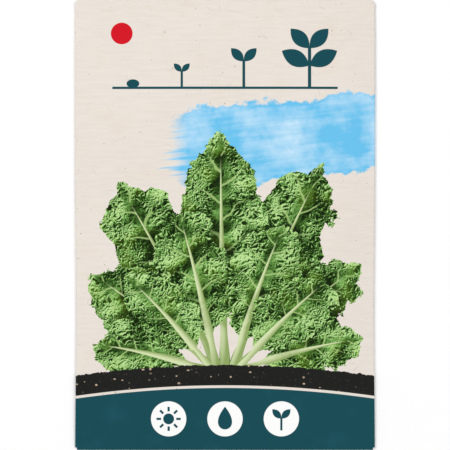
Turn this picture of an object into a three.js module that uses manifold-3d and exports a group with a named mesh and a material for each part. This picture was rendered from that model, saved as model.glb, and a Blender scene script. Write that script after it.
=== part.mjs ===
// A flat paper seed packet, lying on its back with the printed front facing up.
// One sheet of paper is folded into an envelope: the front panel carries a wing on each side, which meet in a
// glued seam down the back, and a flap at each end, which is folded over the wings and glued. A thin layer of
// round seeds lies loose inside and lifts the front.
// Millimetres, +X to the right of the front, +Y towards its top edge, +Z up.
import * as THREE from "three";
import { mergeVertices } from "three/addons/utils/BufferGeometryUtils.js";
import Module from "manifold-3d";

const wasm = await Module();
wasm.setup();

// Driving dimensions of the closed packet and its sheet.
const PACKET_WIDTH = 80;
const PACKET_HEIGHT = 120;
const PAPER = 0.15;
const SEAM_OVERLAP = 12;
const SEAM_STEP_GAP = 1;
const SEAM_STEP_RUN = 2;
const BOTTOM_FLAP = 15;
const TOP_FLAP = 18;
const FLAP_TAPER = 4;

// The glue: films with round ends, a set way in from the edge of the paper that they hold down.
const GLUE_FILM = 0.1;
const GLUE_CLEARANCE = 0.03;
const GLUE_LINE_WIDTH = 5;
const GLUE_MARGIN = 4;
const GLUE_END_STEPS = 6;

// The folds: how far a fold stands out past the panel's edge, and how high it opens above the back layers.
const FOLD_REACH = 0.5;
const FOLD_SPRING = 0.42;
const FOLD_STEPS = 4;

// The front's rise: the paper's own bow, and the broad bulge where it passes over the seeds.
const AIR_BOW = 1.15;
const SEED_BULGE = 1.6;
const BULGE_HALF_WIDTH = 30;
const BULGE_HALF_HEIGHT = 26;
const BOW_POWER_ACROSS = 2.6;
const BOW_POWER_ALONG = 5;
const SIDE_PULL = 0.3;

// The seeds, and the patch that they lie in.
const HEAP_CENTRE = new THREE.Vector2(1.5, -24);
const HEAP_HALF_WIDTH = 15;
const HEAP_HALF_HEIGHT = 8.5;
const SEED_DIAMETER = 2;
const SEED_PITCH = 1.72;
const SEED_JITTER = 0.05;
const SEED_CLEARANCE = 0.1;
const SEED_RANDOM_START = 12;

// How finely the sheet is faceted.
const FRONT_COLUMNS = 22;
const FRONT_ROWS = 30;
const FLAP_STEPS = 2;

// Heights of the paper's middle surface, from the surface the packet lies on.
const LAYER_STEP = PAPER + GLUE_FILM + 2 * GLUE_CLEARANCE;
const FLAP_LEVEL = PAPER / 2;
const OUTER_WING_LEVEL = FLAP_LEVEL + LAYER_STEP;
const INNER_WING_LEVEL = OUTER_WING_LEVEL + LAYER_STEP;
const FRONT_EDGE_LEVEL = INNER_WING_LEVEL + PAPER + FOLD_SPRING;

// Fold lines of the front panel.
const HALF_WIDTH = PACKET_WIDTH / 2 - FOLD_REACH - PAPER / 2;
const HALF_HEIGHT = PACKET_HEIGHT / 2 - FOLD_REACH - PAPER / 2;

const PRINTED_PAPER = new THREE.MeshStandardMaterial({ color: 0xebe3da, roughness: 0.85, metalness: 0 });
const DRIED_GLUE = new THREE.MeshStandardMaterial({ color: 0xe6dfc6, roughness: 0.5, metalness: 0 });
const SEED_COAT = new THREE.MeshStandardMaterial({ color: 0x3b2a20, roughness: 0.7, metalness: 0 });

// A repeatable random number from 0 to 1.
function seededRandom(start) {
  let state = start >>> 0;
  return () => {
    state = (state + 0x6d2b79f5) >>> 0;
    let mixed = Math.imul(state ^ (state >>> 15), state | 1);
    mixed ^= mixed + Math.imul(mixed ^ (mixed >>> 7), mixed | 61);
    return ((mixed ^ (mixed >>> 14)) >>> 0) / 4294967296;
  };
}

// How much the seeds lift the front at a point of it, from 0 far away to 1 over the middle of the heap.
function heapLift(x, y) {
  const across = (x - HEAP_CENTRE.x) / BULGE_HALF_WIDTH;
  const along = (y - HEAP_CENTRE.y) / BULGE_HALF_HEIGHT;
  return Math.exp(-(across ** 2 + along ** 2));
}

// Height of the front above its own fold lines, zero along all four of them.
function frontRise(x, y) {
  const across = 1 - Math.abs(x / HALF_WIDTH) ** BOW_POWER_ACROSS;
  const along = 1 - Math.abs(y / HALF_HEIGHT) ** BOW_POWER_ALONG;
  return across * along * (AIR_BOW + SEED_BULGE * heapLift(x, y));
}

const frontLevel = (x, y) => FRONT_EDGE_LEVEL + frontRise(x, y);

// Paper doesn't stretch, so the side folds draw in beside the bulge.
function sidePull(y) {
  return SIDE_PULL * heapLift(HEAP_CENTRE.x, y);
}

// A half-round fold from one level to another, in the plane of its section: pairs of [reach, level], without
// the two ends.
function foldSection(fromLevel, toLevel) {
  const middle = (fromLevel + toLevel) / 2;
  const half = (fromLevel - toLevel) / 2;
  return Array.from({ length: FOLD_STEPS - 1 }, (_, step) => {
    const angle = (Math.PI * (step + 1)) / FOLD_STEPS;
    return [FOLD_REACH * Math.sin(angle), middle + half * Math.cos(angle)];
  });
}

const evenly = (count, from, to) =>
  Array.from({ length: count + 1 }, (_, step) => THREE.MathUtils.lerp(from, to, step / count));

const ROW_PLACES = evenly(FRONT_ROWS, -HALF_HEIGHT, HALF_HEIGHT);
const COLUMN_SHARES = evenly(FRONT_COLUMNS, -1, 1);

// One row across the tube: inner wing, left fold, front, right fold, outer wing.
function tubeRow(y) {
  const edge = HALF_WIDTH - sidePull(y);
  const at = (x, z) => new THREE.Vector3(x, y, z);
  const fold = foldSection(OUTER_WING_LEVEL, FRONT_EDGE_LEVEL);
  const seamEdge = SEAM_OVERLAP / 2;
  const stepDown = seamEdge + SEAM_STEP_GAP;
  return [
    at(seamEdge, INNER_WING_LEVEL),
    at(-stepDown, INNER_WING_LEVEL),
    at(-stepDown - SEAM_STEP_RUN, OUTER_WING_LEVEL),
    at(-edge, OUTER_WING_LEVEL),
    ...fold.map(([reach, level]) => at(-edge - reach, level)),
    ...COLUMN_SHARES.map((share) => at(edge * share, frontLevel(HALF_WIDTH * share, y))),
    ...fold.toReversed().map(([reach, level]) => at(edge + reach, level)),
    at(edge, OUTER_WING_LEVEL),
    at(-seamEdge, OUTER_WING_LEVEL),
  ];
}

// The rows of an end flap, from its free edge round its fold to the front's edge. side is 1 at the top and -1
// at the bottom.
function flapRows(side, depth) {
  const edge = HALF_WIDTH - sidePull(side * HALF_HEIGHT);
  const row = (y, z, narrowing) =>
    COLUMN_SHARES.map((share) => new THREE.Vector3((edge - narrowing) * share, side * y, z));
  const lyingRow = (share) => row(HALF_HEIGHT - depth * share, FLAP_LEVEL, FLAP_TAPER * share);
  const fold = foldSection(FLAP_LEVEL, FRONT_EDGE_LEVEL);
  return [
    ...evenly(FLAP_STEPS, 1, 0).map(lyingRow),
    ...fold.map(([reach, level]) => row(HALF_HEIGHT + reach, level, 0)),
    row(HALF_HEIGHT, FRONT_EDGE_LEVEL, 0),
  ];
}

// A closed geometry from grids of middle-surface points, welded where they share points and given the paper's
// thickness. Each grid is a list of rows, and its faces point outwards when rows run to the left of their
// points.
function paperSheet(grids) {
  const points = [];
  const known = new Map();
  const indexOf = (point) => {
    const key = point.toArray().map((value) => value.toFixed(3)).join();
    if (!known.has(key)) known.set(key, points.push(point) - 1);
    return known.get(key);
  };
  const triangles = grids.flatMap((rows) => {
    const ids = rows.map((row) => row.map(indexOf));
    return ids.slice(1).flatMap((upper, r) =>
      upper.slice(1).flatMap((corner, c) => {
        const lower = ids[r];
        return [[lower[c], lower[c + 1], corner], [lower[c], corner, upper[c]]];
      }),
    );
  });

  const normals = points.map(() => new THREE.Vector3());
  const openEdges = new Map();
  for (const triangle of triangles) {
    const [a, b, c] = triangle.map((id) => points[id]);
    const facing = new THREE.Triangle(a, b, c).getNormal(new THREE.Vector3());
    triangle.forEach((id, corner) => {
      const next = triangle[(corner + 1) % 3];
      normals[id].add(facing);
      if (!openEdges.delete(`${next},${id}`)) openEdges.set(`${id},${next}`, [id, next]);
    });
  }

  normals.forEach((normal) => normal.setLength(PAPER / 2));
  const offset = (side) =>
    points.flatMap((point, id) => point.clone().addScaledVector(normals[id], side).toArray());
  const inner = (id) => id + points.length;
  const faces = [
    ...triangles,
    ...triangles.map(([a, b, c]) => [inner(a), inner(c), inner(b)]),
    ...[...openEdges.values()].flatMap(([a, b]) => [[b, a, inner(a)], [b, inner(a), inner(b)]]),
  ];
  return new THREE.BufferGeometry()
    .setAttribute("position", new THREE.Float32BufferAttribute([...offset(1), ...offset(-1)], 3))
    .setIndex(faces.flat());
}

// The whole wrapper: the tube with its seam, and the two end flaps. The top flap's rows run the other way, so
// that its outside faces out too.
function wrapperGeometry() {
  return paperSheet([
    ROW_PLACES.map(tubeRow),
    flapRows(-1, BOTTOM_FLAP),
    flapRows(1, TOP_FLAP).toReversed(),
  ]);
}

// A flat film of glue with round ends, halfway between two layers of paper.
function glueFilm(length, lowerLevel, upperLevel) {
  const radius = GLUE_LINE_WIDTH / 2;
  const half = length / 2 - radius;
  const outline = new THREE.Shape();
  outline.absarc(half, 0, radius, -Math.PI / 2, Math.PI / 2);
  outline.absarc(-half, 0, radius, Math.PI / 2, (3 * Math.PI) / 2);
  const flat = { depth: GLUE_FILM, bevelEnabled: false, curveSegments: GLUE_END_STEPS };
  const film = new THREE.ExtrudeGeometry(outline, flat);
  return film.translate(0, 0, (lowerLevel + upperLevel - GLUE_FILM) / 2);
}

// A geometry as a solid that can be joined to others.
function solidOf(geometry) {
  const bare = geometry.clone();
  bare.deleteAttribute("normal");
  bare.deleteAttribute("uv");
  const merged = mergeVertices(bare);
  return new wasm.Manifold(
    new wasm.Mesh({
      numProp: 3,
      vertProperties: merged.attributes.position.array,
      triVerts: new Uint32Array(merged.index.array),
    }),
  );
}

// A solid back as a geometry.
function geometryOf(solid) {
  const mesh = solid.getMesh();
  return new THREE.BufferGeometry()
    .setAttribute("position", new THREE.BufferAttribute(mesh.vertProperties, 3))
    .setIndex(new THREE.BufferAttribute(mesh.triVerts, 1));
}

// The seeds in one layer, on a close-packed lattice that is shaken a little. Each is turned its own way, and
// neighbours press into each other, so the layer is one body.
function seedLayerGeometry() {
  const random = seededRandom(SEED_RANDOM_START);
  const shaken = () => (random() - 0.5) * 2 * SEED_JITTER;
  const middle = INNER_WING_LEVEL + PAPER / 2 + SEED_CLEARANCE + SEED_JITTER + SEED_DIAMETER / 2;
  const rowPitch = SEED_PITCH * Math.sin(Math.PI / 3);
  const rows = Math.ceil(HEAP_HALF_HEIGHT / rowPitch);
  const columns = Math.ceil(HEAP_HALF_WIDTH / SEED_PITCH);
  const seeds = [];
  for (let row = -rows; row <= rows; row++) {
    for (let column = -columns; column <= columns; column++) {
      const x = (column + (row % 2 ? 0.5 : 0)) * SEED_PITCH;
      const y = row * rowPitch;
      if (Math.hypot(x / HEAP_HALF_WIDTH, y / HEAP_HALF_HEIGHT) > 1) continue;
      const seed = new THREE.IcosahedronGeometry(SEED_DIAMETER / 2, 0);
      seed.rotateX(random() * Math.PI).rotateY(random() * Math.PI);
      seed.translate(HEAP_CENTRE.x + x + shaken(), HEAP_CENTRE.y + y + shaken(), middle + shaken());
      seeds.push(solidOf(seed));
    }
  }
  const bodies = wasm.Manifold.union(seeds).decompose();
  const largest = bodies.reduce((best, body) => (body.volume() > best.volume() ? body : best));
  return geometryOf(largest);
}

// A named piece of the packet.
function part(name, geometry, material) {
  const mesh = new THREE.Mesh(geometry, material);
  mesh.name = name;
  return mesh;
}

// The glue line that runs up the back seam, between the two wings.
function seamGlue() {
  const length = 2 * (HALF_HEIGHT - GLUE_MARGIN);
  const film = part("seam_glue", glueFilm(length, OUTER_WING_LEVEL, INNER_WING_LEVEL), DRIED_GLUE);
  film.rotation.z = Math.PI / 2;
  return film;
}

// The glue line that holds an end flap down on the outer wing, near the flap's free edge.
function flapGlue(name, side, depth) {
  const length = 2 * (HALF_WIDTH - FLAP_TAPER - GLUE_MARGIN);
  const film = part(name, glueFilm(length, FLAP_LEVEL, OUTER_WING_LEVEL), DRIED_GLUE);
  film.position.y = side * (HALF_HEIGHT - depth + GLUE_MARGIN);
  return film;
}

const seedPacket = new THREE.Group();
seedPacket.add(
  part("paper_wrapper", wrapperGeometry(), PRINTED_PAPER),
  seamGlue(),
  flapGlue("bottom_flap_glue", -1, BOTTOM_FLAP),
  flapGlue("top_flap_glue", 1, TOP_FLAP),
  part("seeds", seedLayerGeometry(), SEED_COAT),
);

export default seedPacket;
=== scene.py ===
"""A flat paper seed packet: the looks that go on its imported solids.

The packet lies on its back. +Z leaves the printed front, +Y points to its top edge and +X to the right of the
front. Sizes are in millimetres, and turn into metres where a mesh, a lamp or the camera takes them.
"""

import logging
import math
import random
from abc import ABC, abstractmethod
from collections.abc import Callable, Iterator, Sequence
from dataclasses import dataclass
from enum import Enum

import bmesh
import bpy
import numpy as np
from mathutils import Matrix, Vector


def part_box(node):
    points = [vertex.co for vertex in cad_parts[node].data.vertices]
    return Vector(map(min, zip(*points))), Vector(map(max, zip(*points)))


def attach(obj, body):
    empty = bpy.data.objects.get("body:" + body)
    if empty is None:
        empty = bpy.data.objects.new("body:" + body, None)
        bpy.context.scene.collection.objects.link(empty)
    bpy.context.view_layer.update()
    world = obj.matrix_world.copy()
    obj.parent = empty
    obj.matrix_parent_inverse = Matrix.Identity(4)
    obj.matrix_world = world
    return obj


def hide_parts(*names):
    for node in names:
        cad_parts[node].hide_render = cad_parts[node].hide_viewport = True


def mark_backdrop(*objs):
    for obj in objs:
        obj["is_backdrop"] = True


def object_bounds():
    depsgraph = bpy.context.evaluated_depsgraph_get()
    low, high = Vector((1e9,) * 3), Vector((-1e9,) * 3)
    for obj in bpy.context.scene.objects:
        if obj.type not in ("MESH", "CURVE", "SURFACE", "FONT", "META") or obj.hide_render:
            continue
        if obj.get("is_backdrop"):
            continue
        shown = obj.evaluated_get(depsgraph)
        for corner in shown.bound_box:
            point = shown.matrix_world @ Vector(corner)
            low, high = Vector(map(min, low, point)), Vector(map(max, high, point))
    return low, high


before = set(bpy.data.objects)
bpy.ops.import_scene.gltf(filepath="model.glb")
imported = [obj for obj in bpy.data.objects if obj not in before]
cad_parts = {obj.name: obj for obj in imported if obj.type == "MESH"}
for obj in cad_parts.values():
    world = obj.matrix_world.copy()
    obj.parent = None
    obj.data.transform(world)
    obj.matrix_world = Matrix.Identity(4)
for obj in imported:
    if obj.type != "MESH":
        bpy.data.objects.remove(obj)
CAD_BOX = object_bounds()

MM = 0.001
BODY = "root"
PRINT_EDGE = 0.06
log = logging.getLogger("seed_packet")

Colour = tuple[float, float, float, float]
Point = tuple[float, float]
Span = tuple[float, float]
Step = tuple[float, float, float]


def srgb(red: int, green: int, blue: int) -> Colour:
    """Turns a screen colour of 0 to 255 into the linear colour that a node takes.

    Args:
        red: The red of the screen colour.
        green: The green of the screen colour.
        blue: The blue of the screen colour.

    Returns:
        The linear colour, opaque.
    """
    def linear(channel: int) -> float:
        """Gives one channel as light."""
        share = channel / 255
        return share / 12.92 if share <= 0.04045 else ((share + 0.055) / 1.055) ** 2.4

    return (linear(red), linear(green), linear(blue), 1.0)


class Ink(Enum):
    """The printed colours, and those of the bare paper, glue, seeds and floor."""

    CREAM = srgb(230, 222, 213)
    FIBRE_GREY = srgb(150, 140, 132)
    FIBRE_OCHRE = srgb(196, 160, 112)
    FLECK_DARK = srgb(92, 84, 78)
    WASH_PALE = srgb(206, 233, 250)
    WASH_DEEP = srgb(88, 189, 235)
    TEAL = srgb(20, 74, 83)
    CHARCOAL = srgb(29, 30, 28)
    LIME = srgb(151, 192, 33)
    TAN = srgb(222, 196, 168)
    RED = srgb(207, 20, 35)
    WHITE = srgb(250, 250, 249)
    LEAF_SHADE = srgb(14, 32, 2)
    LEAF_DARK = srgb(42, 74, 20)
    LEAF_GREEN = srgb(82, 126, 54)
    LEAF_LIGHT = srgb(127, 176, 95)
    LEAF_GLINT = srgb(186, 220, 146)
    VEIN = srgb(166, 198, 122)
    RIB = srgb(210, 222, 174)
    RIB_SHADE = srgb(140, 164, 96)
    BARE_PAPER = srgb(240, 236, 229)
    GLUE = srgb(230, 223, 198)
    SEED_BROWN = srgb(62, 44, 33)
    SEED_BLACK = srgb(28, 21, 18)
    FLOOR = srgb(252, 252, 252)
    FLOOR_HAZE = srgb(249, 249, 249)


@dataclass(frozen=True)
class Grain:
    """A solid noise: the size of its largest lumps, how many finer layers it has and how strong they are."""

    size: float
    detail: float = 2.0
    roughness: float = 0.5


class NodeSketch:
    """A material's node tree, written down as formulas over the surface."""

    def __init__(self, name: str) -> None:
        """Starts a material of that name with a plain shader."""
        self.material = bpy.data.materials.new(name)
        self.material.use_nodes = True
        self.tree = self.material.node_tree
        self.shader = self.tree.nodes["Principled BSDF"]

    def feed(self, socket: bpy.types.NodeSocket, value: "Feed") -> None:
        """Links a field to a socket, or sets the socket to an ink or a constant."""
        if isinstance(value, Field):
            self.tree.links.new(value.socket, socket)
        else:
            socket.default_value = value.value if isinstance(value, Ink) else value

    def node(self, kind: str, feeds: "dict[str | int, Feed]", **settings: object) -> bpy.types.Node:
        """Adds a node.

        Args:
            kind: The node's type.
            feeds: What goes into its sockets, by name or number.
            settings: Its other properties.

        Returns:
            The node.
        """
        made = self.tree.nodes.new(kind)
        for key, value in settings.items():
            setattr(made, key, value)
        for place, value in feeds.items():
            self.feed(made.inputs[place], value)
        return made

    def field(self, kind: str, feeds: "dict[str | int, Feed]", output: str | int = 0,
              **settings: object) -> "Field":
        """Adds a node as node does, and gives one of its outputs, by name or number."""
        return Field(self, self.node(kind, feeds, **settings).outputs[output])

    def calc(self, operation: str, *values: "Number") -> "Field":
        """Adds one step of arithmetic."""
        return self.field("ShaderNodeMath", dict(enumerate(values)), operation=operation)

    def spot(self, x: "Number", y: "Number", z: "Number" = 0.0) -> "Field":
        """Puts three numbers together as a point."""
        return self.field("ShaderNodeCombineXYZ", {0: x, 1: y, 2: z})

    def place(self) -> "Field":
        """Gives the place on the object in millimetres."""
        found = self.field("ShaderNodeTexCoord", {}, "Object")
        return self.field("ShaderNodeVectorMath", {0: found, 3: 1 / MM}, operation="SCALE")

    def pick(self, under: "Field", over: "Field", choice: "Field") -> "Field":
        """Gives one point or the other, by a choice of 0 or 1."""
        return self.field("ShaderNodeMix", {0: choice, 4: under, 5: over}, 1, data_type="VECTOR")

    def lay(self, under: "Field | Ink", over: "Field | Ink", cover: "Number") -> "Field":
        """Lays one colour on another.

        Args:
            under: The colour below.
            over: The colour on top.
            cover: How much of it shows, from 0 to 1.

        Returns:
            The mixed colour.
        """
        return self.field("ShaderNodeMix", {0: cover, 6: under, 7: over}, 2, data_type="RGBA")

    def coat(self, feeds: "dict[str, Feed]") -> bpy.types.Material:
        """Feeds the shader's sockets by name, and gives the finished material."""
        for name, value in feeds.items():
            self.feed(self.shader.inputs[name], value)
        return self.material


@dataclass(frozen=True)
class Field:
    """A number, point or colour that varies over the surface: one output of a node."""

    sketch: NodeSketch
    socket: bpy.types.NodeSocket

    def __add__(self, other: "Number") -> "Field":
        """Adds."""
        return self.sketch.calc("ADD", self, other)

    def __sub__(self, other: "Number") -> "Field":
        """Takes away."""
        return self.sketch.calc("SUBTRACT", self, other)

    def __rsub__(self, other: float) -> "Field":
        """Takes this from a number."""
        return self.sketch.calc("SUBTRACT", other, self)

    def __mul__(self, other: "Number") -> "Field":
        """Multiplies."""
        return self.sketch.calc("MULTIPLY", self, other)

    def __truediv__(self, other: "Number") -> "Field":
        """Divides."""
        return self.sketch.calc("DIVIDE", self, other)

    def __abs__(self) -> "Field":
        """Drops the sign."""
        return self.sketch.calc("ABSOLUTE", self)

    def times(self, factor: "Number", extra: "Number") -> "Field":
        """Multiplies by one number and adds another."""
        return self.sketch.calc("MULTIPLY_ADD", self, factor, extra)

    def low(self, other: "Number") -> "Field":
        """Gives the smaller of two numbers."""
        return self.sketch.calc("MINIMUM", self, other)

    def high(self, other: "Number") -> "Field":
        """Gives the larger of two numbers."""
        return self.sketch.calc("MAXIMUM", self, other)

    def below(self, limit: "Number") -> "Field":
        """Gives 1 where this is under a limit, and else 0."""
        return self.sketch.calc("LESS_THAN", self, limit)

    def part(self) -> "Field":
        """Gives what stands after the point."""
        return self.sketch.calc("FRACT", self)

    def root(self) -> "Field":
        """Gives the square root."""
        return self.sketch.calc("SQRT", self)

    def away(self, other: "Field") -> "Field":
        """Gives the distance from zero of two numbers at right angles."""
        return (self * self + other * other).root()

    def rise(self, start: float, end: float) -> "Field":
        """Climbs smoothly from 0 at start to 1 at end, or falls if start is the larger."""
        return self.sketch.field("ShaderNodeMapRange", {0: self, 1: start, 2: end},
                                 interpolation_type="SMOOTHSTEP")

    def shown(self, soft: float = PRINT_EDGE) -> "Field":
        """Gives 1 inside an outline, where this distance is negative, with an edge of that half width."""
        return self.rise(soft, -soft)

    def split(self) -> "tuple[Field, Field, Field]":
        """Takes a point apart."""
        made = self.sketch.node("ShaderNodeSeparateXYZ", {0: self})
        return tuple(Field(self.sketch, socket) for socket in made.outputs)

    def shifted(self, by: Step) -> "Field":
        """Moves this point by the same step everywhere."""
        return self.sketch.field("ShaderNodeVectorMath", {0: self, 1: by}, operation="ADD")

    def turned(self, centre: Point, degrees: float, layer: float = 0.0) -> "Field":
        """Gives this point as seen from a place on the sheet, with y along a direction.

        Args:
            centre: The place to measure from.
            degrees: The direction of y, clockwise from upright.
            layer: The height to give the point, which picks another slice of a solid noise.

        Returns:
            The local point.
        """
        feeds = {"Vector": self, "Location": (*centre, -layer), "Rotation": (0, 0, -math.radians(degrees))}
        return self.sketch.field("ShaderNodeMapping", feeds, vector_type="TEXTURE")

    def noise(self, grain: Grain, output: str = "Fac") -> "Field":
        """Reads a noise at this point: "Fac" gives one number of about 0.5, and "Color" gives three."""
        feeds = {"Vector": self, "Scale": 1 / grain.size, "Detail": grain.detail,
                 "Roughness": grain.roughness}
        return self.sketch.field("ShaderNodeTexNoise", feeds, output, noise_dimensions="3D")

    def drift(self, grain: Grain, reach: float) -> "Field":
        """Moves this point about at random, as far as a reach."""
        stir = self.noise(grain, "Color").shifted((-0.5, -0.5, -0.5))
        feeds = {0: stir, 1: (2 * reach, 2 * reach, 0), 2: self}
        return self.sketch.field("ShaderNodeVectorMath", feeds, operation="MULTIPLY_ADD")

    def cells(self, pitch: float) -> "tuple[Field, Field, Field, Field, Field]":
        """Scatters one spot in each cell of a loose grid over the sheet.

        Args:
            pitch: The size of a cell, in millimetres.

        Returns:
            The way from the nearest spot to this point, as x and y, and three random numbers of its cell.
        """
        made = self.sketch.node("ShaderNodeTexVoronoi", {"Vector": self, "Scale": 1 / pitch},
                                voronoi_dimensions="2D", feature="F1")
        nearest, colour = (Field(self.sketch, made.outputs[name]) for name in ("Position", "Color"))
        way = self.sketch.field("ShaderNodeVectorMath", {0: self, 1: nearest}, operation="SUBTRACT")
        across, along, _ = way.split()
        return (across, along, *colour.split())

    def lumps(self, pitch: float) -> "Field":
        """Gives the way to the nearest of scattered spots, as a share of their pitch."""
        return self.sketch.field("ShaderNodeTexVoronoi", {"Vector": self, "Scale": 1 / pitch}, "Distance",
                                 voronoi_dimensions="3D", feature="F1")

    def curve(self, knots: Sequence[Point]) -> "Field":
        """Reads a smooth curve at this number.

        Args:
            knots: The curve's points, from the left. Beyond the ends it stays level.

        Returns:
            The curve's height.
        """
        first, last = knots[0][0], knots[-1][0]
        share = (self - first) * (1 / (last - first))
        made = self.sketch.node("ShaderNodeFloatCurve", {"Value": share})
        made.mapping.use_clip = False
        points = made.mapping.curves[0].points
        while len(points) < len(knots):
            points.new(0.5, 0.5)
        for point, (at, height) in zip(points, knots):
            point.location = ((at - first) / (last - first), height)
        made.mapping.update()
        return Field(self.sketch, made.outputs[0])

    def ramp(self, stops: Sequence[tuple[float, Ink]]) -> "Field":
        """Reads a colour from a scale of inks at this number.

        Args:
            stops: The places and inks, at least two of them.

        Returns:
            The colour.
        """
        made = self.sketch.node("ShaderNodeValToRGB", {0: self})
        elements = made.color_ramp.elements
        while len(elements) < len(stops):
            elements.new(0.5)
        for element, (at, ink) in zip(elements, stops):
            element.position = at
            element.color = ink.value
        return Field(self.sketch, made.outputs[0])

    def bump(self, depth: float) -> "Field":
        """Gives the direction of a surface that has this height, with a depth in millimetres."""
        return self.sketch.field("ShaderNodeBump", {"Height": self, "Strength": 1.0, "Distance": depth * MM})


Number = Field | float
Feed = Field | Ink | float | Sequence[float]
Layer = tuple[Field | Ink, Field]


class Motif(ABC):
    """Something that is printed on the sheet, or is in its paper."""

    @abstractmethod
    def layers(self, point: Field) -> Iterator[Layer]:
        """Draws the motif, from its lowest layer up.

        Args:
            point: The point on the sheet, in millimetres.

        Yields:
            A layer's colour, and how much of it shows.
        """

    def paint(self, point: Field, under: Field) -> Field:
        """Lays the motif on the colour below, and gives the new colour."""
        for colour, cover in self.layers(point):
            under = point.sketch.lay(under, colour, cover)
        return under


@dataclass(frozen=True)
class Fibres(Motif):
    """Hair-thin fibres in the paper, one in each cell of a loose grid, each with its own turn and curl."""

    ink: Ink
    cell: float
    half_length: float
    shift: Step
    half_width: float = 0.14
    bow: float = 1.2
    full_share: float = 0.4
    strength_span: Span = (0.3, 1.0)
    most_cover: float = 0.34

    def layers(self, point: Field) -> Iterator[Layer]:
        """Draws the fibres.

        Args:
            point: The point on the sheet, in millimetres.

        Yields:
            Their ink, and how much of it shows.
        """
        across, along, turn, curl, strength = point.shifted(self.shift).cells(self.cell)
        angle = turn * math.tau
        sine = point.sketch.calc("SINE", angle)
        cosine = point.sketch.calc("COSINE", angle)
        run = across * cosine + along * sine
        bow = (curl - 0.5) * (run * run) * self.bow
        side = abs(along * cosine - across * sine - bow)
        ends = abs(run).rise(self.half_length, self.half_length * self.full_share)
        body = side.rise(self.half_width, 0.0) * ends
        yield self.ink, body * strength.rise(*self.strength_span) * self.most_cover


@dataclass(frozen=True)
class Specks(Motif):
    """Small specks, one in each cell of a loose grid, each with its own size, shape and strength."""

    ink: Ink
    cell: float
    radius: float
    least_squash: float
    strength_span: Span
    most_cover: float

    def layers(self, point: Field) -> Iterator[Layer]:
        """Draws the specks.

        Args:
            point: The point on the sheet, in millimetres.

        Yields:
            Their ink, and how much of it shows.
        """
        across, along, size, squash, strength = point.cells(self.cell)
        outline = across.away(along * (squash + self.least_squash)) - size * self.radius
        yield self.ink, outline.shown() * strength.rise(*self.strength_span) * self.most_cover


@dataclass(frozen=True)
class PaperStock:
    """Uncoated recycled paper: a cream ground with a faint laid grain, curled fibres and small flecks."""

    clouds: Grain = Grain(24.0, 3.0)
    cloud_shade: float = 0.1
    laid: Grain = Grain(0.8)
    laid_length: float = 6.0
    laid_shade: float = 0.2
    tooth: Grain = Grain(0.4, 1.0)
    tooth_shade: float = 0.12
    least_shade: float = 0.17
    warmth: Grain = Grain(8.0)
    warm_shift: Step = (0.0, 0.0, 24.0)
    warm_span: Span = (0.5, 0.8)
    warm_cover: float = 0.18
    strewn: tuple[Motif, ...] = (
        Fibres(Ink.FIBRE_GREY, cell=7.5, half_length=1.3, shift=(311.0, 177.0, 0.0)),
        Fibres(Ink.FIBRE_OCHRE, cell=11.25, half_length=2.08, shift=(622.0, 354.0, 0.0)),
        Specks(Ink.FLECK_DARK, cell=3.2, radius=0.2, least_squash=0.8, strength_span=(0.4, 1.0),
               most_cover=0.6),
    )

    def ground(self, point: Field) -> Field:
        """Paints the paper's own colour.

        Args:
            point: The point on the sheet, in millimetres.

        Returns:
            The colour.
        """
        sketch = point.sketch
        x, y, _ = point.split()
        laid = sketch.spot(x * (self.laid.size / self.laid_length), y).noise(self.laid)
        shade = point.noise(self.tooth).times(self.tooth_shade, -self.least_shade)
        shade = point.noise(self.clouds).times(self.cloud_shade, laid.times(self.laid_shade, shade))
        colour = sketch.lay(Ink.CREAM, Ink.FIBRE_GREY, shade.high(0.0))
        warmth = point.shifted(self.warm_shift).noise(self.warmth).rise(*self.warm_span)
        colour = sketch.lay(colour, Ink.TAN, warmth * self.warm_cover)
        for strewn in self.strewn:
            colour = strewn.paint(point, colour)
        return colour


@dataclass(frozen=True)
class SkyWash(Motif):
    """A brushed blue wash that comes in from the right edge and runs out in dry strokes to the left."""

    middle: float = 21.0
    half_height: float = 10.5
    tilt: float = 84.0
    tip: float = -27.0
    run_out: Span = (-22.0, 4.0)
    narrowing: float = 0.75
    ragged: Grain = Grain(7.0, 5.0, 0.62)
    ragged_reach: float = 10.4
    edge_soft: float = 0.5
    strokes: Grain = Grain(1.5, 3.0, 0.6)
    stroke_squeeze: float = 0.05
    stroke_level: float = 0.42
    dryness: float = 0.55
    dry_span: Span = (-0.06, 0.1)
    wet_span: Span = (0.3, 0.05)
    pools: Grain = Grain(15.0, 4.0, 0.6)
    pool_depth: float = 3.0
    stroke_depth: float = 0.9
    least_depth: float = 1.2
    rim_inset: float = 0.4
    rim_width: float = 0.9
    rim_depth: float = 0.22
    opacity: float = 0.94

    def layers(self, point: Field) -> Iterator[Layer]:
        """Draws the wash.

        Args:
            point: The point on the sheet, in millimetres.

        Yields:
            Its colour, and how much of it shows.
        """
        sketch = point.sketch
        side, run, _ = point.turned((0.0, self.middle), self.tilt).split()
        strokes = sketch.spot(side, run * self.stroke_squeeze).noise(self.strokes)
        ends = (self.tip - run).rise(*self.run_out)
        ragged = (point.noise(self.ragged) - 0.5) * self.ragged_reach
        edge = abs(side) - self.half_height + ragged + ends * (self.half_height * self.narrowing)
        dry = (strokes - self.stroke_level + ends * -self.dryness).rise(*self.dry_span)
        cover = edge.shown(self.edge_soft) * dry.high(ends.rise(*self.wet_span))
        rim = abs(edge + self.rim_inset).rise(self.rim_width, 0.0)
        brushed = rim.times(self.rim_depth, strokes.times(self.stroke_depth, -self.least_depth))
        deep = point.noise(self.pools).times(self.pool_depth, brushed).low(1.0).high(0.0)
        yield sketch.lay(Ink.WASH_PALE, Ink.WASH_DEEP, deep), cover * self.opacity


@dataclass(frozen=True)
class Leaf:
    """One frilled leaf of the printed plant."""

    root: Point
    lean: float
    length: float
    half_width: float
    bend: float


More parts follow.
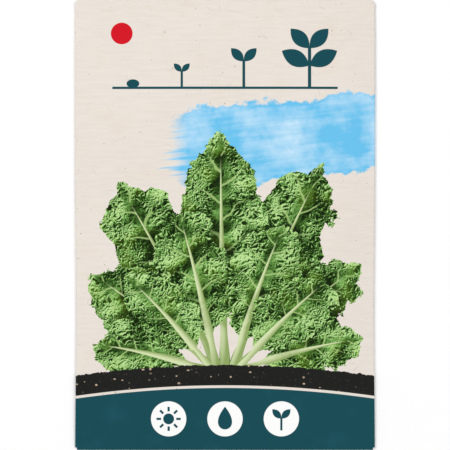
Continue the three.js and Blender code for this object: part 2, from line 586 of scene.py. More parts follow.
@dataclass(frozen=True)
class LeafSpot:
    """A place on the leaf that lies on top at a point.

    It has the distance across the rib, the share of the length along it, the depth inside the frilled edge,
    the way from the middle of the nearest lobe, the light that the leaves above leave, and the leaf's number
    in the pile, which is 0 beside the plant.
    """

    across: Field
    along: Field
    depth: Field
    lobe: Field
    light: Field
    number: Field

    def spread(self) -> Field:
        """Gives the share of the way from the rib to the edge."""
        return abs(self.across) / (abs(self.across) + self.depth)


@dataclass(frozen=True)
class LeafBlade:
    """The printed leaf's surface: small curls and larger folds in the light, and dark places between them."""

    scale: tuple[tuple[float, Ink], ...] = (
        (0.0, Ink.LEAF_SHADE), (0.28, Ink.LEAF_DARK), (0.5, Ink.LEAF_GREEN), (0.75, Ink.LEAF_LIGHT),
        (1.0, Ink.LEAF_GLINT),
    )
    stir: Grain = Grain(3.0, 1.0)
    stir_reach: float = 1.4
    curls: Grain = Grain(1.3, 2.0, 0.55)
    curl_step: Step = (-0.18, 0.22, 0.0)
    curl_slope: float = 1.45
    curl_level: float = 0.55
    curl_height: float = 0.65
    folds: Grain = Grain(6.0, 1.0)
    fold_step: Step = (-0.8, 1.0, 0.0)
    fold_slope: float = 2.0
    lobe_height: float = 0.9
    frill_span: Span = (0.08, 0.4)
    smooth_middle: float = 0.25
    rim_width: float = 1.4
    rim_light: float = 0.14
    base_light: float = 0.3
    pile_light: float = 0.012
    shadow: float = 0.65
    lime_span: Span = (0.5, 0.75)
    lime_cover: float = 0.13

    def paint(self, spot: Field, fold: Field, leaf: LeafSpot) -> Field:
        """Paints the surface.

        Args:
            spot: The point on the sheet, on the leaf's own slice of the solid noises.
            fold: The height of the larger folds there.
            leaf: The place on the leaf.

        Returns:
            The colour.
        """
        stirred = spot.drift(self.stir, self.stir_reach)
        curl = self.curl_at(stirred)
        slope = curl - self.curl_at(stirred.shifted(self.curl_step))
        swell = fold - spot.shifted(self.fold_step).noise(self.folds)
        relief = slope * self.curl_slope + (curl - self.curl_level) * self.curl_height
        relief = relief + (0.5 - leaf.lobe) * self.lobe_height
        frilled = leaf.spread().rise(*self.frill_span).times(1.0 - self.smooth_middle, self.smooth_middle)
        rim = leaf.depth.rise(self.rim_width, 0.0) * self.rim_light
        own = leaf.number.times(self.pile_light, self.base_light) + (leaf.light - 1.0) * self.shadow
        value = relief * frilled + swell * self.fold_slope + rim + own
        lime = fold.rise(*self.lime_span) * self.lime_cover
        return spot.sketch.lay(value.ramp(self.scale), Ink.LIME, lime)

    def curl_at(self, spot: Field) -> Field:
        """Gives the height of the small curls, as ridges of a noise."""
        return 1.0 - abs(spot.noise(self.curls).times(2.0, -1.0)) * 2.0


@dataclass(frozen=True)
class LeafRibs:
    """The pale stalk and rib of a printed leaf, and the veins that leave it on both sides."""

    veins: float = 7.0
    vein_slant: float = 0.9
    vein_sway: float = 0.5
    vein_half: float = 0.05
    vein_least: float = 0.02
    vein_taper: Span = (0.9, 0.0)
    vein_edge: Span = (1.0, 0.3)
    vein_fade: Span = (0.8, 0.3)
    vein_cover: float = 0.8
    rib_half: float = 1.15
    rib_least: float = 0.1
    rib_round: Span = (-0.6, 1.1)
    rib_edge: Span = (1.15, 0.85)
    rib_fade: Span = (0.93, 0.8)
    rib_shadow: float = 0.9

    def paint(self, fold: Field, leaf: LeafSpot, under: Field) -> Field:
        """Paints the ribs over the leaf's surface.

        Args:
            fold: The height of the larger folds, which bend the veins.
            leaf: The place on the leaf.
            under: The colour below.

        Returns:
            The new colour.
        """
        sketch = under.sketch
        spread = leaf.spread()
        phase = leaf.along.times(self.veins, spread * -self.vein_slant) + leaf.across.below(0.0) * 0.5
        phase = phase + (fold - 0.5) * self.vein_sway
        half = spread.rise(*self.vein_taper).times(self.vein_half, self.vein_least)
        vein = (abs(phase.part() - 0.5) / half).rise(*self.vein_edge) * spread.rise(*self.vein_fade)
        colour = sketch.lay(under, Ink.VEIN, vein * leaf.light * self.vein_cover)
        over = leaf.across / leaf.along.rise(1.0, 0.0).times(self.rib_half, self.rib_least)
        dark = (over.rise(*self.rib_round) + (1.0 - leaf.light) * self.rib_shadow).low(1.0)
        rib = sketch.lay(Ink.RIB, Ink.RIB_SHADE, dark)
        return sketch.lay(colour, rib, abs(over).rise(*self.rib_edge) * leaf.along.rise(*self.rib_fade))


@dataclass(frozen=True)
class PrintedPlant(Motif):
    """A leafy green plant, drawn as a fan of frilled leaves on pale stalks."""

    leaves: tuple[Leaf, ...] = (
        Leaf((-2.0, -38.0), -25.0, 54.0, 10.5, -3.0),
        Leaf((2.0, -38.0), 21.0, 57.0, 10.5, 3.0),
        Leaf((0.0, -38.0), -2.0, 61.0, 11.0, 1.0),
        Leaf((-3.0, -38.0), -48.0, 40.0, 9.0, -3.0),
        Leaf((3.0, -38.0), 46.0, 41.0, 9.0, 3.0),
        Leaf((-4.0, -38.5), -72.0, 31.0, 7.0, -3.0),
        Leaf((4.0, -38.5), 70.0, 32.0, 7.0, 3.0),
        Leaf((-2.0, -39.0), -11.0, 44.0, 9.5, -2.0),
        Leaf((2.0, -39.0), 15.0, 41.0, 9.5, 3.0),
        Leaf((-3.0, -39.0), -37.0, 33.0, 8.0, -3.0),
        Leaf((3.0, -39.0), 39.0, 34.0, 8.0, 3.5),
    )
    profile: tuple[Point, ...] = (
        (-0.1, -0.6), (0.0, 0.12), (0.2, 0.09), (0.28, 0.3), (0.42, 0.74), (0.62, 1.0),
        (0.82, 0.88), (0.94, 0.52), (1.0, 0.1), (1.2, -1.0),
    )
    blade: LeafBlade = LeafBlade()
    ribs: LeafRibs = LeafRibs()
    slice_step: float = 13.0
    lobe_pitch: float = 8.0
    lobe_level: float = 0.55
    lobe_reach: float = 6.0
    most_out: float = 2.0
    frills: Grain = Grain(1.7, 2.0, 0.6)
    frill_reach: float = 4.5
    frill_span: Span = (0.18, 0.36)
    shadow_span: Span = (-0.4, 4.0)
    shadow_light: float = 0.28

    def layers(self, point: Field) -> Iterator[Layer]:
        """Draws the plant.

        Args:
            point: The point on the sheet, in millimetres.

        Yields:
            Its colour, and where it shows.
        """
        leaf = self.top_leaf(point)
        x, y, _ = point.split()
        spot = point.sketch.spot(x, y, leaf.number * self.slice_step)
        fold = spot.noise(self.blade.folds)
        yield self.ribs.paint(fold, leaf, self.blade.paint(spot, fold, leaf)), leaf.number.low(1.0)

    def top_leaf(self, point: Field) -> LeafSpot:
        """Finds the leaf on top at a point, by laying the leaves on each other from the bottom of the pile.

        Args:
            point: The point on the sheet, in millimetres.

        Returns:
            The place on that leaf.
        """
        sketch = point.sketch
        where = sketch.spot(0.0, 0.0, 1.0)
        what = sketch.spot(0.0, 1.0, 0.0)
        for number, leaf in enumerate(self.leaves, start=1):
            across, along, lobe, outside = self.measure(point, leaf, number)
            inside = outside.below(0.0)
            old_lobe, light, old_number = what.split()
            dimmed = light * outside.rise(*self.shadow_span).times(1.0 - self.shadow_light, self.shadow_light)
            below = sketch.spot(old_lobe, dimmed, old_number)
            what = sketch.pick(below, sketch.spot(lobe, 1.0, number), inside)
            where = sketch.pick(where, sketch.spot(across, along, outside * -1.0), inside)
        return LeafSpot(*where.split(), *what.split())

    def measure(self, point: Field, leaf: Leaf, number: int) -> tuple[Field, Field, Field, Field]:
        """Measures a point against one leaf.

        Args:
            point: The point on the sheet, in millimetres.
            leaf: The leaf.
            number: Its place in the pile, which picks its frills.

        Returns:
            The distance across the rib, the share of the length along it, the way from the middle of the
            nearest lobe, and the distance outside the frilled edge.
        """
        local = point.turned(leaf.root, leaf.lean, layer=number * self.slice_step)
        side, run, _ = local.split()
        along = run * (1 / leaf.length)
        across = (along * along).times(-leaf.bend, side)
        half = along.curve(self.profile) * leaf.half_width
        lobe = local.lumps(self.lobe_pitch)
        frill = local.noise(self.frills)
        ruffle = (lobe - self.lobe_level) * self.lobe_reach + (frill - 0.5) * self.frill_reach
        frilled = along.rise(*self.frill_span) * ruffle.high(-self.most_out)
        return across, along, lobe, frilled + abs(across) - half


@dataclass(frozen=True)
class SoilAndBase(Motif):
    """A mound of dark soil with pebbles in it, above a plain teal base."""

    soil_top: float = -37.2
    soil_depth: float = 5.4
    gap: float = 0.7
    drop: float = 3.0
    crumbs: Grain = Grain(1.6, 3.0, 0.7)
    crumb_height: float = 1.5
    earth: Grain = Grain(0.8)
    earth_span: Span = (0.58, 0.9)
    earth_cover: float = 0.5
    mottle: Grain = Grain(9.0, 4.0)
    mottle_span: Span = (0.5, 1.0)
    mottle_cover: float = 0.06
    pebbles: Specks = Specks(Ink.TAN, cell=2.4, radius=0.42, least_squash=0.9, strength_span=(0.4, 0.8),
                             most_cover=0.7)

    def layers(self, point: Field) -> Iterator[Layer]:
        """Draws the soil, then the base.

        Args:
            point: The point on the sheet, in millimetres.

        Yields:
            A colour, and where it shows.
        """
        sketch = point.sketch
        x, y, _ = point.split()
        share = x * (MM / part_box("paper_wrapper")[1].x)
        level = y + (share * share) * self.drop - self.soil_top
        top = (point.noise(self.crumbs) - 0.5).times(self.crumb_height, level)
        bottom = level + self.soil_depth
        earth = point.noise(self.earth).rise(*self.earth_span) * self.earth_cover
        soil = self.pebbles.paint(point, sketch.lay(Ink.CHARCOAL, Ink.FLECK_DARK, earth))
        yield soil, top.high(bottom * -1.0).shown()
        mottle = point.noise(self.mottle).rise(*self.mottle_span) * self.mottle_cover
        yield sketch.lay(Ink.TEAL, Ink.WASH_DEEP, mottle), (bottom + self.gap).shown()


# These bring the widest place of a leaf and of a drop to a half width of 1.
LEAF_FULLNESS = 4.0
DROP_FULLNESS = 2.6


def pointed_leaf(share: Field) -> Field:
    """Gives a leaf's half width along its length, both as shares: two arcs that meet in points."""
    return share * (1.0 - share) * LEAF_FULLNESS


def water_drop(share: Field) -> Field:
    """Gives a drop's half width along its length, both as shares: a round foot and a point on top."""
    return share.high(0.0).root() * (1.0 - share) * DROP_FULLNESS + share.low(0.0)


@dataclass(frozen=True)
class Blade:
    """A slim shape that grows from a root, with its lean in degrees clockwise from upright."""

    root: Point
    lean: float
    length: float
    half_width: float
    profile: Callable[[Field], Field] = pointed_leaf

    def outline(self, point: Field) -> Field:
        """Gives the distance of a point outside the shape."""
        side, run, _ = point.turned(self.root, self.lean).split()
        return abs(side) - self.profile(run * (1 / self.length)) * self.half_width


@dataclass(frozen=True)
class Seedling:
    """A seedling: a stem with pairs of leaves, the lower pairs longer and flatter."""

    root: Point
    height: float
    pairs: int = 1
    leaf_share: float = 0.66
    leaf_growth: float = 0.1
    leaf_slimness: float = 0.26
    lean: float = 44.0
    lean_growth: float = 18.0
    pair_step: float = 0.42
    stem_least: float = 0.22
    stem_share: float = 0.02

    def outline(self, point: Field) -> Field:
        """Draws the seedling.

        Args:
            point: The point on the sheet, in millimetres.

        Returns:
            The distance outside it.
        """
        x, y, _ = point.split()
        stem_half = self.stem_least + self.stem_share * self.height
        middle = self.root[1] + self.height / 2
        drawn = (abs(x - self.root[0]) - stem_half).high(abs(y - middle) - self.height / 2)
        for pair in range(self.pairs):
            level = self.root[1] + self.height * (1 - self.pair_step * pair)
            length = self.height * (self.leaf_share + self.leaf_growth * pair)
            lean = self.lean + self.lean_growth * pair
            half = length * self.leaf_slimness
            for side in (-1, 1):
                leaf = Blade((self.root[0], level - stem_half), side * lean, length, half)
                drawn = drawn.low(leaf.outline(point))
        return drawn


class Sign(Enum):
    """What a round badge shows."""

    SUN = "sun"
    DROP = "drop"
    SPROUT = "sprout"


@dataclass(frozen=True)
class Badges(Motif):
    """White discs with growing signs. The signs' sizes are shares of the discs' radius."""

    signs: tuple[Sign, ...] = (Sign.SUN, Sign.DROP, Sign.SPROUT)
    row: float = -51.6
    pitch: float = 15.0
    radius: float = 4.7
    sun_radius: float = 0.31
    rays: int = 8
    ray_half: float = 0.065
    ray_middle: float = 0.56
    ray_reach: float = 0.13
    drop_foot: float = -0.6
    drop_length: float = 1.3
    drop_half: float = 0.4
    sprout_foot: float = -0.66
    sprout_height: float = 0.74

    def layers(self, point: Field) -> Iterator[Layer]:
        """Draws each disc, then its sign.

        Args:
            point: The point on the sheet, in millimetres.

        Yields:
            An ink, and where it shows.
        """
        for number, sign in enumerate(self.signs):
            middle = ((number - (len(self.signs) - 1) / 2) * self.pitch, self.row)
            local = point.turned(middle, 0.0)
            x, y, _ = local.split()
            yield Ink.WHITE, (x.away(y) - self.radius).shown()
            yield Ink.TEAL, self.outline(local, sign).shown()

    def outline(self, local: Field, sign: Sign) -> Field:
        """Draws one sign about the middle of its disc.

        Args:
            local: The point, from the disc's middle.
            sign: Which sign.

        Returns:
            The distance outside it.
        """
        size = self.radius
        if sign is Sign.DROP:
            foot = (0.0, self.drop_foot * size)
            return Blade(foot, 0.0, self.drop_length * size, self.drop_half * size, water_drop).outline(local)
        if sign is Sign.SPROUT:
            foot = (0.0, self.sprout_foot * size)
            return Seedling(foot, self.sprout_height * size, leaf_share=1.0).outline(local)
        x, y, _ = local.split()
        reach = x.away(y)
        turn = local.sketch.calc("ARCTAN2", y, x) * (self.rays / math.tau)
        off = ((turn + 0.5).part() - 0.5) * (math.tau / self.rays)
        along = abs(reach - self.ray_middle * size) - self.ray_reach * size
        ray = (abs(off * reach) - self.ray_half * size).high(along)
        return (reach - self.sun_radius * size).low(ray)


@dataclass(frozen=True)
class SeedlingRow(Motif):
    """A row of seedlings along a ground line, with a seed and a red spot for the sun where they are given.

    Each seedling has its place along the line, its height and its pairs of leaves.
    """

    ground: float
    half_length: float
    seedlings: tuple[tuple[float, float, int], ...]
    seed: float | None = None
    sun: Point | None = None
    line_half: float = 0.32
    seed_half: float = 1.7
    seed_squash: float = 1.5
    sun_radius: float = 2.9

    def layers(self, point: Field) -> Iterator[Layer]:
        """Draws the line and what grows on it, then the sun.

        Args:
            point: The point on the sheet, in millimetres.

        Yields:
            An ink, and where it shows.
        """
        x, y, _ = point.split()
        drawn = (abs(x) - self.half_length).high(abs(y - self.ground) - self.line_half)
        for place, height, pairs in self.seedlings:
            drawn = drawn.low(Seedling((place, self.ground), height, pairs).outline(point))
        if self.seed is not None:
            rise = (y - self.ground) * self.seed_squash - self.seed_half
            drawn = drawn.low((x - self.seed).away(rise) - self.seed_half)
        yield Ink.TEAL, drawn.shown()
        if self.sun is not None:
            sun = (x - self.sun[0]).away(y - self.sun[1]) - self.sun_radius
            yield Ink.RED, sun.shown()


@dataclass(frozen=True)
class BlankLabel(Motif):
    """A bare white panel on the back with a thin outline."""

    middle: float = -13.0
    half_width: float = 29.4
    half_height: float = 11.5
    corner: float = 2.0
    line_half: float = 0.14
    opacity: float = 0.8

    def layers(self, point: Field) -> Iterator[Layer]:
        """Draws the panel, then its outline.

        Args:
            point: The point on the sheet, in millimetres.

        Yields:
            An ink, and how much of it shows.
        """
        x, y, _ = point.split()
        beyond = (abs(x) - self.half_width + self.corner).high(0.0)
        above = (abs(y - self.middle) - self.half_height + self.corner).high(0.0)
        outline = beyond.away(above) - self.corner
        yield Ink.WHITE, outline.shown() * self.opacity
        yield Ink.TEAL, (abs(outline) - self.line_half).shown()


@dataclass(frozen=True)
class SowingChart(Motif):
    """The back's chart: two rows of boxes, one box for each month, with no words.

    Each row has its level, the columns where its busy months start and end, and the ink of those months.
    """

    months: int = 12
    pitch: float = 4.9
    box_half: float = 2.05
    rows: tuple[tuple[float, int, int, Ink], ...] = ((16.0, 3, 6, Ink.LIME), (9.6, 8, 12, Ink.TAN))
    line_half: float = 0.14

    def layers(self, point: Field) -> Iterator[Layer]:
        """Draws each row's busy months, then its boxes. Seen from behind, the months run towards -X.

        Args:
            point: The point on the sheet, in millimetres.

        Yields:
            An ink, and where it shows.
        """
        x, y, _ = point.split()
        column = x * (-1 / self.pitch) + self.months / 2
        slot = (column.part() - 0.5) * self.pitch
        within = abs(column - self.months / 2).below(self.months / 2)
        for level, start, end, ink in self.rows:
            square = abs(slot).high(abs(y - level)) - self.box_half
            busy = abs(column - (start + end) / 2).below((end - start) / 2)
            yield ink, square.shown() * busy * within
            yield Ink.TEAL, (abs(square) - self.line_half).shown() * within


@dataclass(frozen=True)
class PaperSurface:
    """How paper takes the light: dull, with a fine tooth."""

    least_roughness: float = 0.7
    uneven_roughness: float = 0.16
    specular: float = 0.1
    tooth: Grain = Grain(0.22)
    tooth_depth: float = 0.006

    def finish(self, point: Field, colour: Field) -> bpy.types.Material:
        """Finishes a paper material.

        Args:
            point: The point on the sheet, in millimetres.
            colour: The colour.

        Returns:
            The material.
        """
        tooth = point.noise(self.tooth)
        return point.sketch.coat({
            "Base Color": colour,
            "Normal": tooth.bump(self.tooth_depth),
            "Roughness": tooth.times(self.uneven_roughness, self.least_roughness),
            "Specular IOR Level": self.specular,
        })


@dataclass(frozen=True)
class PacketPrint:
    """The paper and all that is printed on it."""

    stock: PaperStock = PaperStock()
    surface: PaperSurface = PaperSurface()
    base: SoilAndBase = SoilAndBase()
    growth: SeedlingRow = SeedlingRow(ground=36.5, half_length=30.0, seed=-24.5, sun=(-27.5, 51.0),
                                      seedlings=((-11.5, 4.6, 1), (5.0, 7.4, 1), (22.5, 11.0, 2)))
    spacing: SeedlingRow = SeedlingRow(ground=24.0, half_length=29.4,
                                       seedlings=((-18.0, 6.0, 1), (0.0, 6.0, 1), (18.0, 6.0, 1)))
    inside_clouds: Grain = Grain(6.0, 4.0)
    edge_clouds: Grain = Grain(0.6, 4.0)

    def front(self) -> bpy.types.Material:
        """Makes the printed front."""
        return self.printed("printed_front", (self.growth, SkyWash(), PrintedPlant(), self.base, Badges()))

    def back(self) -> bpy.types.Material:
        """Makes the printed back."""
        return self.printed("printed_back", (self.spacing, SowingChart(), BlankLabel(), self.base))

    def inside(self) -> bpy.types.Material:
        """Makes the bare inside."""
        return self.plain("bare_paper", self.inside_clouds)

    def edge(self) -> bpy.types.Material:
        """Makes the cut edge."""
        return self.plain("cut_edge", self.edge_clouds)

    def printed(self, name: str, motifs: Sequence[Motif]) -> bpy.types.Material:
        """Makes printed paper.

        Args:
            name: The material's name.
            motifs: What is printed, in order.

        Returns:
            The material.
        """
        sketch = NodeSketch(name)
        x, y, _ = sketch.place().split()
        point = sketch.spot(x, y)
        colour = self.stock.ground(point)
        for motif in motifs:
            colour = motif.paint(point, colour)
        return self.surface.finish(point, colour)

    def plain(self, name: str, clouds: Grain) -> bpy.types.Material:
        """Makes unprinted paper of that name, clouded between two whites."""
        point = NodeSketch(name).place()
        return self.surface.finish(point, point.sketch.lay(Ink.BARE_PAPER, Ink.CREAM, point.noise(clouds)))


def clear_selection() -> None:
    """Leaves edit mode and deselects every object."""
    if bpy.context.object and bpy.context.object.mode != "OBJECT":
        bpy.ops.object.mode_set(mode="OBJECT")
    bpy.ops.object.select_all(action="DESELECT")


def apply_modifier(piece: bpy.types.Object, kind: str, **settings: object) -> None:
    """Adds a modifier to a piece and applies it.

    Args:
        piece: The piece.
        kind: The modifier's type.
        settings: Its properties.
    """
    clear_selection()
    bpy.context.view_layer.objects.active = piece
    piece.select_set(True)
    made = piece.modifiers.new(kind.title(), kind)
    for key, value in settings.items():
        setattr(made, key, value)
    bpy.ops.object.modifier_apply(modifier=made.name)


def points_of(piece: bpy.types.Object) -> np.ndarray:
    """Gives a piece's vertices as rows of x, y and z, in metres."""
    flat = np.empty(len(piece.data.vertices) * 3)
    piece.data.vertices.foreach_get("co", flat)
    return flat.reshape(-1, 3)


def move_points(piece: bpy.types.Object, points: np.ndarray) -> None:
    """Moves a piece's vertices to rows of x, y and z, in metres."""
    piece.data.vertices.foreach_set("co", points.ravel())


def hill(distance: np.ndarray, reach: float) -> np.ndarray:
    """Gives a round hill: 1 at no distance, falling softly to nothing past a reach."""
    return np.exp(-((distance / reach) ** 2))


def weigh(piece: bpy.types.Object, name: str, weights: np.ndarray) -> str:
    """Gives a piece a vertex group with a weight for each vertex.

    Args:
        piece: The piece.
        name: The group's name.
        weights: The weights, from 0 to 1.

    Returns:
        The group's name.
    """
    group = piece.vertex_groups.new(name=name)
    for index in np.flatnonzero(weights > 0):
        group.add([int(index)], float(weights[index]), "REPLACE")
    return group.name


@dataclass(frozen=True)
class SeedCoat:
    """The seeds' dull dark coat, finely pitted."""

    patches: Grain = Grain(1.4, 3.0)
    patch_span: Span = (0.35, 0.65)
    pits: Grain = Grain(0.18, 1.0)
    pit_depth: float = 0.02
    least_roughness: float = 0.4
    uneven_roughness: float = 0.3

    def material(self) -> bpy.types.Material:
        """Makes the coat.

        Returns:
            The material.
        """
        point = NodeSketch("seed_coat").place()
        pits = point.noise(self.pits)
        patch = point.noise(self.patches).rise(*self.patch_span)
        return point.sketch.coat({
            "Base Color": point.sketch.lay(Ink.SEED_BROWN, Ink.SEED_BLACK, patch),
            "Normal": pits.bump(self.pit_depth),
            "Roughness": pits.times(self.uneven_roughness, self.least_roughness),
        })


@dataclass
class SeedLayer:
    """Round seeds, loose in one layer in the bottom of the packet."""

    diameter: float = 1.86
    size_spread: float = 0.12
    squash: float = 0.93
    segments: int = 8
    rings: int = 6
    count: int = 108
    rounds: int = 300
    start: int = 7

    def places(self) -> list[Vector]:
        """Works out where the seeds lie: strewn over an oval, then pushed apart until they lie side by side.

        Returns:
            Their middles, in millimetres.
        """
        low, high = (np.array(corner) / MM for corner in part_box("seeds"))
        half = (high - low)[:2] / 2 - self.diameter / 2
        draw = np.random.default_rng(self.start)
        turn = draw.uniform(0, math.tau, self.count)
        reach = np.sqrt(draw.random(self.count))[:, None]
        spots = reach * half * np.stack([np.cos(turn), np.sin(turn)], axis=1)
        for _ in range(self.rounds):
            apart = spots[:, None] - spots[None]
            gap = np.linalg.norm(apart, axis=2) + np.eye(self.count) * self.diameter
            push = (self.diameter - gap).clip(0) / gap / 2
            spots += (push[:, :, None] * apart).sum(axis=1)
            spots /= np.hypot(*(spots / half).T).clip(1)[:, None]
        middle = (low + high)[:2] / 2
        return [Vector((*spot, low[2] + self.diameter / 2)) for spot in spots + middle]

    def build(self) -> bpy.types.Object:
        """Models one seed and copies it to every place.

        Returns:
            The seeds as one piece.
        """
        clear_selection()
        bpy.ops.mesh.primitive_uv_sphere_add(segments=self.segments, ring_count=self.rings,
                                             radius=self.diameter / 2 * MM)
        seed = bpy.context.object
        bpy.ops.object.mode_set(mode="EDIT")
        bpy.ops.mesh.select_all(action="SELECT")
        bpy.ops.transform.resize(value=(1, 1, self.squash))
        bpy.ops.object.mode_set(mode="OBJECT")
        draw = random.Random(self.start)
        copies = []
        for place in self.places():
            copy = bpy.data.objects.new("seed", seed.data.copy())
            bpy.context.scene.collection.objects.link(copy)
            copy.location = place * MM
            copy.rotation_euler = [draw.uniform(0, math.tau) for _ in range(3)]
            copy.scale = [1 - draw.random() * self.size_spread] * 3
            copies.append(copy)
        bpy.data.objects.remove(seed)
        clear_selection()
        for copy in copies:
            copy.select_set(True)
        bpy.context.view_layer.objects.active = copies[0]
        bpy.ops.object.join()
        piece = bpy.context.object
        bpy.ops.object.transform_apply(location=True, rotation=True, scale=True)
        bpy.ops.object.shade_smooth()
        piece.name = "seed_layer"
        return piece

    def dress(self, piece: bpy.types.Object) -> None:
        """Gives the seeds their coat."""
        piece.data.materials.clear()
        piece.data.materials.append(SeedCoat().material())


class Side(Enum):
    """The sides of the sheet, by material slot. The inside and the edge have a slot for each outer side."""

    FRONT = 0
    BACK = 1
    INSIDE = 2
    EDGE = 4


@dataclass(frozen=True)
class MapPatch:
    """A part of the texture map: where an origin on the sheet lands, and the size of a millimetre."""

    landing: Point
    scale: float

    def spread(self, places: np.ndarray, origin: Point = (0.0, 0.0)) -> np.ndarray:
        """Gives the map's coordinates for places on the sheet, in millimetres."""
        return np.array(self.landing) + (places - np.array(origin)) * self.scale


@dataclass(frozen=True)
class SheetMap:
    """How the wrapper's texture map is shared out, with most of the room for the printed front."""

    front: MapPatch = MapPatch((0.335, 0.5), 0.00796)
    left_wing: MapPatch = MapPatch((0.675, 0.01), 0.0034)
    right_wing: MapPatch = MapPatch((0.838, 0.01), 0.0034)
    top_flap: MapPatch = MapPatch((0.835, 0.52), 0.004)
    bottom_flap: MapPatch = MapPatch((0.835, 0.53), 0.004)
    inside: MapPatch = MapPatch((0.79, 0.79), 0.0028)
    edge_corners: tuple[Point, ...] = ((0.94, 0.7), (0.98, 0.7), (0.98, 0.74), (0.94, 0.74))


@dataclass
class PaperWrapper:
    """The folded sheet: front, two wings that meet in the back seam, and a flap at each end."""

    paper: float = 0.15
    layer_gap: float = 0.16
    front_edge: float = 1.34
    seam_half: float = 6.0
    seam_step: float = 2.0
    seam_step_gap: float = 1.0
    bottom_flap: float = 15.0
    top_flap: float = 18.0
    flap_taper: float = 4.0
    waist: float = 0.3
    waist_height: float = 26.0
    columns: int = 132
    rows: int = 198
    fold_steps: int = 6
    wing_steps: int = 10
    flap_steps: int = 4
    back_normal: float = -0.9
    smooth_angle: float = 40.0
    lift: float = 10.0
    smooth_factor: float = 0.5
    smooth_rounds: int = 36
    seed_dent: float = 0.18
    seed_reach: float = 1.15
    least_dent: float = 0.01
    wave_margin: float = 0.2
    wave_size: float = 21.0
    wave_height: float = 0.35
    crumple_size: float = 5.0
    crumple_height: float = 0.06
    fold_press: float = 0.3
    press_reach: float = 4.5
    corner_press: float = 0.22
    corner_reach: float = 7.0
    pull_height: float = 0.16
    pull_pitch: float = 7.5
    pull_middle: float = 15.0
    pull_length: float = 10.0
    pull_spread: float = 6.5

    def __post_init__(self) -> None:
        """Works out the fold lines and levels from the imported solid."""
        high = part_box("paper_wrapper")[1] / MM
        self.outer_wing = self.paper + self.layer_gap
        self.inner_wing = 2 * self.outer_wing
        self.side_fold = (self.front_edge - self.outer_wing) / 2
        self.side_level = (self.front_edge + self.outer_wing) / 2
        self.end_fold = self.front_edge / 2
        self.half_width = high.x - self.side_fold
        self.half_height = high.y - self.end_fold

    def build(self, seeds: Sequence[Vector]) -> bpy.types.Object:
        """Folds the sheet and shapes its front.

        Args:
            seeds: The seeds' middles, in millimetres.

        Returns:
            The wrapper.
        """
        sheet = self.front_panel()
        self.fold_sides()
        self.fold_ends()
        self.face_out(sheet)
        self.mark_sides(sheet)
        blank = points_of(sheet) / MM
        front = self.on_front(blank)
        self.drape(sheet, front)
        self.crease(sheet, front, seeds)
        self.press_folds(sheet, front)
        self.draw_in(sheet, seeds)
        apply_modifier(sheet, "SOLIDIFY", thickness=self.paper * MM, offset=-1,
                       material_offset=Side.INSIDE.value, material_offset_rim=Side.EDGE.value)
        bpy.ops.object.shade_smooth_by_angle(angle=math.radians(self.smooth_angle))
        self.lay_out_map(sheet, blank)
        return sheet

    def front_panel(self) -> bpy.types.Object:
        """Lays out the flat front as a fine grid.

        Returns:
            The sheet, in edit mode.
        """
        clear_selection()
        bpy.ops.mesh.primitive_grid_add(x_subdivisions=self.columns, y_subdivisions=self.rows, size=2,
                                        calc_uvs=False)
        sheet = bpy.context.object
        sheet.name = "folded_packet"
        bpy.ops.object.mode_set(mode="EDIT")
        bpy.ops.mesh.select_mode(type="EDGE")
        bpy.ops.mesh.select_all(action="SELECT")
        bpy.ops.transform.resize(value=(self.half_width * MM, self.half_height * MM, 1))
        bpy.ops.transform.translate(value=(0, 0, self.front_edge * MM))
        return sheet

    def select_edge(self, chosen: Callable[[Vector], bool]) -> None:
        """Selects the sheet's edges whose two ends are both chosen, by their place in millimetres."""
        mesh = bmesh.from_edit_mesh(bpy.context.object.data)
        for edge in mesh.edges:
            edge.select_set(all(chosen(end.co / MM) for end in edge.verts))
        mesh.select_flush_mode()
        bmesh.update_edit_mesh(bpy.context.object.data)

    def extrude(self, step: Sequence[float], narrowing: float = 1.0) -> None:
        """Carries the selected edge on by a step in millimetres, and narrows it across the sheet."""
        bpy.ops.mesh.extrude_region_move(TRANSFORM_OT_translate={"value": [move * MM for move in step]})
        if narrowing != 1.0:
            bpy.ops.transform.resize(value=(narrowing, 1, 1))

    def fold_sides(self) -> None:
        """Folds a wing in from each side: the left one lies under the right one along the seam."""
        near = self.half_width - MM
        step_start = self.seam_half + self.seam_step_gap + self.seam_step
        for side in (-1, 1):
            self.select_edge(lambda place: place.x * side > near and place.z > self.front_edge - MM)
            bpy.ops.mesh.spin(steps=self.fold_steps, angle=-side * math.pi, axis=(0, 1, 0),
                              center=(side * self.half_width * MM, 0, self.side_level * MM))
            reach = self.half_width + self.seam_half if side > 0 else self.half_width - step_start
            for _ in range(self.wing_steps):
                self.extrude((-side * reach / self.wing_steps, 0, 0))
            if side < 0:
                self.extrude((self.seam_step, 0, self.inner_wing - self.outer_wing))
                for _ in range(self.flap_steps):
                    self.extrude(((2 * self.seam_half + self.seam_step_gap) / self.flap_steps, 0, 0))

    def fold_ends(self) -> None:
        """Folds a flap over the wings at each end, with its corners cut to a taper."""
        near = self.half_height - MM
        width = self.half_width + MM
        for side, depth in ((-1, self.bottom_flap), (1, self.top_flap)):
            self.select_edge(lambda place: place.y * side > near and abs(place.x) < width
                             and place.z > self.front_edge - MM)
            bpy.ops.mesh.spin(steps=self.fold_steps, angle=side * math.pi, axis=(1, 0, 0),
                              center=(0, side * self.half_height * MM, self.end_fold * MM))
            half = self.half_width
            for _ in range(self.flap_steps):
                narrower = half - self.flap_taper / self.flap_steps
                self.extrude((0, -side * depth / self.flap_steps, 0), narrower / half)
                half = narrower

